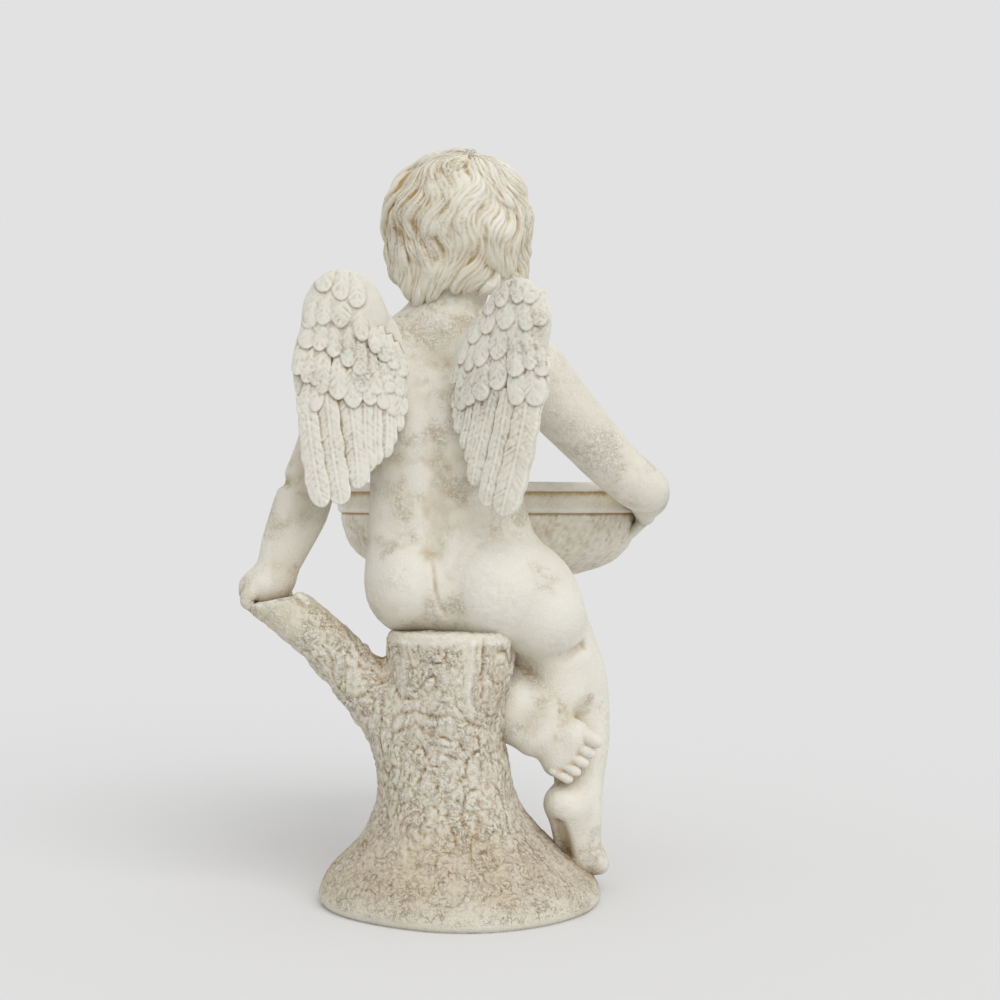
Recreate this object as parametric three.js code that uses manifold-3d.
// A cherub garden statue in cast stone: a winged child half seated on a tree stump, its left hand on a
// broken side branch, its right arm round a wide basin that rests on its lap. Millimetres, +Z up.
// The figure looks towards -Y, its left side is +X, and the origin is the centre of the base's underside.
// The whole statue is one casting, so it is one solid: rounded forms are lofted, then joined.
import * as THREE from "three";
import { mergeVertices } from "three/addons/utils/BufferGeometryUtils.js";
import Module from "manifold-3d";

// Driving dimensions.
const BASE_RADIUS = 160;
const STUMP_TOP = 301;
const BRANCH_END = [215, 6, 341];
const BASIN = { x: -29, y: -232, halfWidth: 198, halfDepth: 178, rim: 469, foot: 350, wall: 14 };
const HEAD = { at: [10, -38, 762], yaw: 28, pitch: 5, roll: 5 };
const WING_WIDTH = 129;
const WING_LENGTH = 262;
const WING_THICKNESS = 13;

// Facets: how many sides the round forms have.
const LIMB_SIDES = 8;
const FINGER_SIDES = 5;
const BALL_SIDES = 9;
const BODY_SIDES = 16;
const BASIN_SIDES = 30;

const wasm = await Module();
wasm.setup();

const radians = THREE.MathUtils.degToRad;
const mix = (a, b, t) => a + (b - a) * t;

// ---- from three.js geometry to a solid and back ----

function solidFrom(geometry) {
  const bare = geometry.index ? geometry.toNonIndexed() : geometry.clone();
  bare.deleteAttribute("normal");
  bare.deleteAttribute("uv");
  const merged = mergeVertices(bare, 1e-3);
  return new wasm.Manifold(
    new wasm.Mesh({
      numProp: 3,
      vertProperties: merged.attributes.position.array,
      triVerts: new Uint32Array(merged.index.array),
    }),
  );
}

function geometryFrom(solid) {
  const mesh = solid.getMesh();
  return new THREE.BufferGeometry()
    .setAttribute("position", new THREE.BufferAttribute(mesh.vertProperties, 3))
    .setIndex(new THREE.BufferAttribute(mesh.triVerts, 1));
}

const join = (solids) => solids.reduce((whole, piece) => whole.add(piece));

// ---- the three kinds of rounded form ----

// A ball stretched to three radii, turned by Euler angles in degrees, then moved to its centre.
function ellipsoid(centre, radii, turn = [0, 0, 0], sides = BALL_SIDES) {
  const geometry = new THREE.SphereGeometry(1, sides, Math.round(sides * 0.6));
  geometry.rotateX(Math.PI / 2);
  geometry.scale(...radii);
  geometry.applyMatrix4(
    new THREE.Matrix4().makeRotationFromEuler(new THREE.Euler(...turn.map(radians), "XYZ")),
  );
  geometry.translate(...centre);
  return solidFrom(geometry);
}

// A closed skin over rings of points: every ring has the same number of points, and both ends close on
// a point of their own.
function skin(rings, firstTip, lastTip) {
  const sides = rings[0].length;
  const points = [firstTip, ...rings.flat(), lastTip];
  const last = points.length - 1;
  const faces = [];
  for (let i = 0; i < sides; i++) {
    const next = (i + 1) % sides;
    faces.push(0, 1 + next, 1 + i);
    for (let ring = 0; ring < rings.length - 1; ring++) {
      const low = 1 + ring * sides;
      const high = low + sides;
      faces.push(low + i, low + next, high + next, low + i, high + next, high + i);
    }
    const top = 1 + (rings.length - 1) * sides;
    faces.push(top + i, top + next, last);
  }
  const geometry = new THREE.BufferGeometry().setFromPoints(points);
  geometry.setIndex(faces);
  return solidFrom(geometry);
}

// A limb through stations [x, y, z, radius], with round ends.
function limb(stations, sides = LIMB_SIDES, stepsPerSpan = 1) {
  const places = stations.map(([x, y, z]) => new THREE.Vector3(x, y, z));
  const curve = new THREE.CatmullRomCurve3(places, false, "centripetal");
  const steps = stepsPerSpan * (stations.length - 1);
  const radiusAt = (t) => {
    const span = Math.min(t * (stations.length - 1), stations.length - 1.000001);
    const index = Math.floor(span);
    return mix(stations[index][3], stations[index + 1][3], span - index);
  };
  const frames = Array.from({ length: steps + 1 }, (_, i) => {
    const t = i / steps;
    return { at: curve.getPoint(t), along: curve.getTangent(t), radius: radiusAt(t) };
  });
  let side = new THREE.Vector3(0, 0, 1).cross(frames[0].along);
  if (side.lengthSq() < 0.01) side = new THREE.Vector3(1, 0, 0);
  const ringAt = ({ at, along, radius }) => {
    side.addScaledVector(along, -side.dot(along)).normalize();
    const up = along.clone().cross(side);
    return Array.from({ length: sides }, (_, i) => {
      const angle = (2 * Math.PI * i) / sides;
      return at
        .clone()
        .addScaledVector(side, radius * Math.cos(angle))
        .addScaledVector(up, radius * Math.sin(angle));
    });
  };
  const capRing = (frame, reach) => ({
    at: frame.at.clone().addScaledVector(frame.along, reach * frame.radius * 0.6),
    along: frame.along,
    radius: frame.radius * 0.8,
  });
  const first = frames[0];
  const final = frames[steps];
  const all = [capRing(first, -1), ...frames, capRing(final, 1)];
  const tip = (frame, reach) => frame.at.clone().addScaledVector(frame.along, reach * frame.radius);
  return skin(all.map(ringAt), tip(first, -1), tip(final, 1));
}

// A body lofted upwards through level ovals [z, x, y, half width, half depth, turn in degrees].
function tower(levels, sides = BODY_SIDES) {
  const ring = ([z, x, y, halfWidth, halfDepth, turn = 0]) =>
    Array.from({ length: sides }, (_, i) => {
      const angle = (2 * Math.PI * i) / sides;
      const across = new THREE.Vector2(halfWidth * Math.cos(angle), halfDepth * Math.sin(angle));
      across.rotateAround(new THREE.Vector2(), radians(turn));
      return new THREE.Vector3(x + across.x, y + across.y, z);
    });
  const middle = ([z, x, y]) => new THREE.Vector3(x, y, z);
  return skin(levels.map(ring), middle(levels[0]), middle(levels[levels.length - 1]));
}

// ---- stump, base and branch ----

function stump() {
  const trunk = tower([
    [0, 0, 0, BASE_RADIUS - 3, BASE_RADIUS - 1],
    [8, 0, 0, BASE_RADIUS, BASE_RADIUS + 2],
    [18, 1, 0, BASE_RADIUS - 4, BASE_RADIUS - 2],
    [30, 5, 1, 145, 146],
    [47, 8, 3, 127, 130],
    [64, 9, 5, 110, 114],
    [81, 11, 7, 96, 99],
    [98, 14, 9, 86, 89],
    [120, 17, 10, 78, 80],
    [150, 21, 12, 75, 74],
    [185, 24, 12, 72, 71],
    [225, 19, 12, 71, 70],
    [265, 13, 11, 71, 70],
    [STUMP_TOP - 6, 11, 10, 72, 70],
    [STUMP_TOP, 11, 10, 69, 67],
  ]);
  const [endX, endY, endZ] = BRANCH_END;
  const branch = limb([
    [48, 12, 175, 44],
    [104, 10, 233, 34],
    [160, 8, 292, 29],
    [endX, endY, endZ - 8, 27],
  ]);
  return join([trunk, branch]);
}

// ---- the body ----

function torso() {
  const trunk = tower([
    [292, -20, -18, 70, 48, 14],
    [318, -10, -18, 102, 62, 14],
    [345, 0, -18, 106, 68, 14],
    [375, 7, -19, 102, 67, 14],
    [410, 13, -20, 95, 64, 13],
    [445, 17, -21, 90, 62, 12],
    [485, 21, -21, 85, 61, 10],
    [525, 24, -21, 86, 62, 9],
    [565, 27, -22, 90, 60, 8],
    [600, 29, -22, 88, 52, 8],
    [628, 29, -22, 66, 44, 8],
    [650, 28, -22, 48, 40, 8],
  ]);
  return join([
    trunk,
    ellipsoid([56, 8, 356], [54, 54, 56], [0, 0, 10], 12), // left buttock
    ellipsoid([-52, 8, 344], [70, 60, 68], [0, 0, 10], 12), // right buttock
    ellipsoid([-4, -62, 392], [66, 40, 62], [0, 0, 10]), // belly
    ellipsoid([-24, -48, 296], [56, 44, 36]), // seat, filling between the thighs
    ellipsoid([70, -48, 566], [36, 26, 32], [0, 0, 10]), // left breast
    ellipsoid([-12, -42, 566], [36, 26, 32], [0, 0, 10]), // right breast
    limb([[28, -22, 640, 43], [20, -27, 668, 42], [12, -32, 700, 44]]), // neck
    limb([[28, -14, 636, 30], [84, -24, 622, 30], [124, -36, 600, 34]]), // left shoulder slope
    limb([[28, -14, 636, 30], [-28, -8, 620, 30], [-74, -2, 595, 34]]), // right shoulder slope
  ]);
}

// Four fingers laid side by side: each bends from its knuckle through two joints.
function fingers(knuckle, sideStep, reach, droop, radius) {
  return Array.from({ length: 4 }, (_, i) => {
    const spread = i - 1.5;
    const shorter = 1 - 0.09 * Math.abs(i - 1.4);
    const bend = (out, down) => [0, 1, 2].map(
      (k) => knuckle[k] + sideStep[k] * spread + (reach[k] * out + droop[k] * down) * shorter,
    );
    return limb(
      [
        [...bend(0, 0), radius],
        [...bend(0.8, 0.3), radius],
        [...bend(0.9, 1), radius * 0.8],
      ],
      FINGER_SIDES,
    );
  });
}

function leftArm() {
  const [endX, endY, endZ] = BRANCH_END;
  return join([
    limb([
      [126, -36, 594, 39],
      [146, -36, 545, 35],
      [163, -31, 500, 32],
      [174, -26, 470, 32],
      [185, -17, 434, 32],
      [197, -8, 402, 29],
      [208, -2, 372, 26],
      [216, 0, 356, 24],
    ]),
    ellipsoid([endX + 6, endY - 6, endZ + 8], [34, 30, 19], [0, 38, 0]), // palm
    ...fingers([endX + 22, endY - 4, endZ + 2], [0, 14, 0], [10, 0, -4], [-4, 0, -22], 9),
    limb([[endX - 4, -26, endZ + 4, 11], [endX - 14, -34, endZ - 14, 10], [endX - 14, -33, endZ - 26, 8]],
      FINGER_SIDES), // thumb
  ]);
}

function rightArm() {
  return join([
    limb([
      [-83, 2, 588, 42],
      [-114, 0, 551, 36],
      [-143, -6, 519, 33],
      [-171, -14, 489, 31],
      [-203, -24, 460, 30],
      [-214, -60, 451, 29],
      [-220, -105, 442, 26],
      [-222, -145, 434, 22],
    ]),
    ellipsoid([-222, -172, 428], [15, 30, 24], [0, 8, 0]), // back of the hand
    ...fingers([-224, -190, 418], [0, -12, 3], [8, -12, -16], [26, -6, -20], 8),
    limb([[-218, -168, 446, 9], [-213, -186, 462, 9], [-205, -200, 468, 8]], FINGER_SIDES), // thumb
  ]);
}

// Five toes fanned from the inner to the outer edge of a foot.
function toes(inner, outer, point, bigRadius) {
  return Array.from({ length: 5 }, (_, i) => {
    const t = i / 4;
    const radius = mix(bigRadius, bigRadius * 0.62, Math.min(1, t * 1.6));
    const root = [0, 1, 2].map((k) => mix(inner[k], outer[k], t));
    const tip = root.map((value, k) => value + point[k] * (1 - 0.25 * t));
    return limb([[...root, radius], [...tip, radius * 0.95]], FINGER_SIDES);
  });
}

function rightLeg() {
  return join([
    limb([
      [-82, -20, 326, 62],
      [-108, -52, 282, 56],
      [-126, -80, 238, 43],
      [-133, -90, 208, 37],
      [-132, -64, 174, 36],
      [-132, -34, 142, 31],
      [-133, -10, 116, 26],
      [-132, -8, 92, 25],
    ]),
    ellipsoid([-133, -104, 214], [24, 18, 26]), // kneecap
    ellipsoid([-111, 12, 110], [21, 23, 24]), // heel, raised
    limb([[-116, 6, 104, 20], [-122, -6, 72, 21], [-128, -20, 44, 24]]), // sole
    ellipsoid([-133, -24, 42], [30, 26, 22], [0, 10, 0]), // ball of the foot
    ...toes([-116, -40, 32], [-152, -32, 30], [-4, -20, -4], 11),
  ]);
}

function leftLeg() {
  return join([
    limb([
      [50, -22, 346, 56],
      [40, -62, 330, 54],
      [24, -100, 316, 47],
      [6, -130, 303, 40],
      [-10, -104, 284, 36],
      [-32, -64, 262, 35],
      [-50, -30, 243, 30],
      [-64, -6, 226, 27],
    ]),
    ellipsoid([6, -144, 308], [27, 20, 25]), // kneecap
    ellipsoid([-68, 14, 212], [30, 22, 32], [0, 30, 0]), // heel
    limb([[-76, 14, 204, 27], [-98, 16, 192, 24], [-114, 17, 182, 25]]), // sole
    ellipsoid([-116, 18, 178], [24, 17, 35], [0, 32, 0]), // ball of the foot
    ...toes([-132, 20, 194], [-106, 20, 150], [-17, 2, -8], 11),
  ]);
}

// ---- basin ----

// A lathe profile, squeezed from a circle to the basin's oval.
function ovalLathe(profile) {
  const points = profile.map(([radius, z]) => new THREE.Vector2(radius, z));
  const geometry = new THREE.LatheGeometry(points, BASIN_SIDES);
  geometry.rotateX(Math.PI / 2);
  geometry.scale(1, BASIN.halfDepth / BASIN.halfWidth, 1);
  geometry.translate(BASIN.x, BASIN.y, 0);
  return solidFrom(geometry);
}

function basinHollow() {
  const { halfWidth, rim, foot, wall } = BASIN;
  const inside = halfWidth - wall;
  return ovalLathe([
    [0, foot + wall],
    [0.45 * inside, foot + wall + 3],
    [0.72 * inside, foot + wall + 14],
    [0.88 * inside, foot + wall + 33],
    [0.96 * inside, foot + wall + 60],
    [inside, rim - 10],
    [inside + 2, rim + 60],
    [0, rim + 60],
  ]);
}

function basin() {
  const { halfWidth, rim, foot } = BASIN;
  return ovalLathe([
    [0, foot],
    [0.4 * halfWidth, foot + 1],
    [0.6 * halfWidth, foot + 6],
    [0.76 * halfWidth, foot + 17],
    [0.86 * halfWidth, foot + 31],
    [0.92 * halfWidth, foot + 48],
    [0.95 * halfWidth, foot + 66],
    [0.955 * halfWidth, rim - 38],
    [0.98 * halfWidth, rim - 35],
    [0.985 * halfWidth, rim - 12],
    [halfWidth, rim - 8],
    [halfWidth, rim - 2],
    [halfWidth - 5, rim],
    [0, rim],
  ]);
}

// ---- wings ----
// A wing has its own space: u runs from its outer edge inwards, v down from its top, n out of its back.

// One row of covert feathers is one plate whose lower edge is scalloped, one scallop to a feather.
function covertRow({ count, from, to, top, tip, slope, lift }) {
  const step = (to - from) / count;
  const edge = (u) => tip + slope * u;
  const outline = new THREE.Shape();
  outline.moveTo(from, top);
  outline.lineTo(to, top);
  outline.lineTo(to, edge(to) - 9);
  for (let i = count - 1; i >= 0; i--) {
    const left = from + i * step;
    const middle = left + step / 2;
    outline.lineTo(middle + step * 0.3, edge(middle) - 1);
    outline.lineTo(middle - step * 0.3, edge(middle) - 1);
    outline.lineTo(left, edge(left) - 9);
  }
  const plate = new THREE.ExtrudeGeometry(outline, { depth: 9, bevelEnabled: false });
  plate.translate(0, 0, lift - 9);
  return plate;
}

// One long flight feather: a flat blade with a round tip.
function flightFeather({ u, top, tip, lean, width, lift }) {
  const half = width / 2;
  const length = tip - top;
  const blade = new THREE.Shape();
  blade.moveTo(-half, 0);
  blade.lineTo(half, 0);
  blade.lineTo(half, length - half);
  blade.absarc(0, length - half, half, 0, Math.PI, false);
  const plate = new THREE.ExtrudeGeometry(blade, { depth: 9, bevelEnabled: false, curveSegments: 4 });
  plate.rotateZ(radians(lean));
  plate.translate(u, top, lift - 9);
  return plate;
}

function wingForms() {
  const arm = new THREE.Shape();
  arm.moveTo(8, 110);
  arm.bezierCurveTo(0, 60, 14, 2, 60, 1);
  arm.bezierCurveTo(104, 2, 116, 50, 124, 112);
  arm.bezierCurveTo(120, 150, 96, 175, 60, 176);
  arm.bezierCurveTo(30, 172, 14, 150, 8, 110);
  const board = new THREE.ExtrudeGeometry(arm, {
    depth: WING_THICKNESS - 4,
    bevelThickness: 4,
    bevelSize: 4,
    bevelOffset: -4,
    bevelSegments: 1,
    curveSegments: 4,
  });
  board.translate(0, 0, -9);
  const crest = new THREE.SphereGeometry(1, 10, 6);
  crest.scale(42, 36, 16);
  crest.translate(62, 40, 0);
  const flights = Array.from({ length: 5 }, (_, i) => {
    const t = i / 4;
    return {
      u: mix(20, 112, t),
      top: 96,
      tip: WING_LENGTH - 4 - 78 * t ** 1.5,
      lean: mix(-9, 8, t),
      width: 32,
      lift: 4 + 2 * (i % 2),
    };
  });
  const rows = [
    { count: 5, from: 6, to: 122, top: 60, tip: 116, slope: 0.3, lift: 9 },
    { count: 4, from: 10, to: 116, top: 36, tip: 72, slope: 0.26, lift: 13 },
  ];
  return [board, crest, ...flights.map(flightFeather), ...rows.map(covertRow)];
}

// A wing is set on the statue by its top outer corner, a turn about Z and a roll in its own plane.
function wing({ corner, turn, roll, side }) {
  const inward = side === "left" ? -1 : 1;
  const u = new THREE.Vector3(inward * Math.cos(turn), -inward * Math.sin(turn), 0);
  const v = new THREE.Vector3(0, 0, -1);
  const n = new THREE.Vector3(Math.sin(turn), Math.cos(turn), 0);
  u.applyAxisAngle(n, roll);
  v.applyAxisAngle(n, roll);
  const place = new THREE.Matrix4().makeBasis(u, v, n).setPosition(...corner);
  const placed = (geometry) => {
    const flat = geometry.index ? geometry.toNonIndexed() : geometry;
    flat.applyMatrix4(place);
    if (place.determinant() < 0) flipFaces(flat);
    return solidFrom(flat);
  };
  return join(wingForms().map(placed));
}

function flipFaces(geometry) {
  const { array } = geometry.attributes.position;
  for (let i = 0; i < array.length; i += 9)
    for (let k = 0; k < 3; k++) [array[i + 3 + k], array[i + 6 + k]] = [array[i + 6 + k], array[i + 3 + k]];
}

function wings() {
  return join([
    wing({ corner: [186, 60, 701], turn: radians(-5), roll: 0, side: "left" }),
    ellipsoid([90, 38, 614], [38, 44, 60]), // left root, on the shoulder blade
    wing({ corner: [-99, 124, 690], turn: radians(33), roll: radians(-3), side: "right" }),
    ellipsoid([-24, 46, 616], [42, 54, 64], [0, 0, 33]), // right root
  ]);
}

// ---- head ----

// The hair is one mass over the skull, carved into locks that wave as they run down from the crown.
function hair() {
  const locks = 10;
  const depth = 0.05;
  const geometry = new THREE.SphereGeometry(1, 3 * locks, 12);
  geometry.rotateX(Math.PI / 2);
  const position = geometry.attributes.position;
  const point = new THREE.Vector3();
  for (let i = 0; i < position.count; i++) {
    point.fromBufferAttribute(position, i);
    const around = Math.atan2(point.y, point.x);
    const down = Math.acos(THREE.MathUtils.clamp(point.z, -1, 1));
    const groove = Math.cos(locks * around + 1.6 * Math.sin(3.2 * down));
    point.multiplyScalar(1 + depth * groove * Math.sin(down));
    position.setXYZ(i, ...point);
  }
  geometry.scale(80, 84, 78);
  geometry.rotateX(radians(-22));
  geometry.translate(0, 16, 8);
  return solidFrom(geometry);
}

// The head is made facing -Y about its own centre, then turned, tipped and set on the neck.
function head() {
  const forms = [
    hair(),
    ellipsoid([0, -34, 12], [56, 42, 46]), // forehead
    ellipsoid([0, -24, -40], [54, 48, 48]), // jaw
    ellipsoid([32, -42, -36], [28, 26, 28]), // left cheek
    ellipsoid([-32, -42, -36], [28, 26, 28]), // right cheek
    ellipsoid([0, -60, -70], [18, 14, 14]), // chin
    limb([[0, -66, -4, 7], [0, -74, -20, 8], [0, -80, -32, 9]], 6), // nose
    ellipsoid([0, -70, -53], [14, 7, 7], [0, 0, 0], 8), // mouth
    ellipsoid([24, -60, -9], [14, 12, 10], [0, 0, 0], 8), // left eye
    ellipsoid([-24, -60, -9], [14, 12, 10], [0, 0, 0], 8), // right eye
    ellipsoid([74, -2, -18], [9, 13, 18], [0, 0, 0], 8), // left ear
    ellipsoid([-74, -2, -18], [9, 13, 18], [0, 0, 0], 8), // right ear
  ];
  const turned = join(forms).rotate([-HEAD.pitch, HEAD.roll, HEAD.yaw]);
  return turned.translate(HEAD.at);
}

// ---- the casting ----

function statue() {
  const figure = join([torso(), leftArm(), rightArm(), rightLeg(), leftLeg(), wings(), head(), stump()]);
  const whole = figure.subtract(basinHollow()).add(basin().subtract(basinHollow()));
  return whole.asOriginal();
}

const castStone = new THREE.MeshStandardMaterial({
  name: "cast_stone",
  color: new THREE.Color(0.76, 0.73, 0.65),
  roughness: 0.9,
  metalness: 0,
});

const casting = new THREE.Mesh(geometryFrom(statue()), castStone);
casting.name = "cherub_statue";

const cherub = new THREE.Group();
cherub.add(casting);

export default cherub;
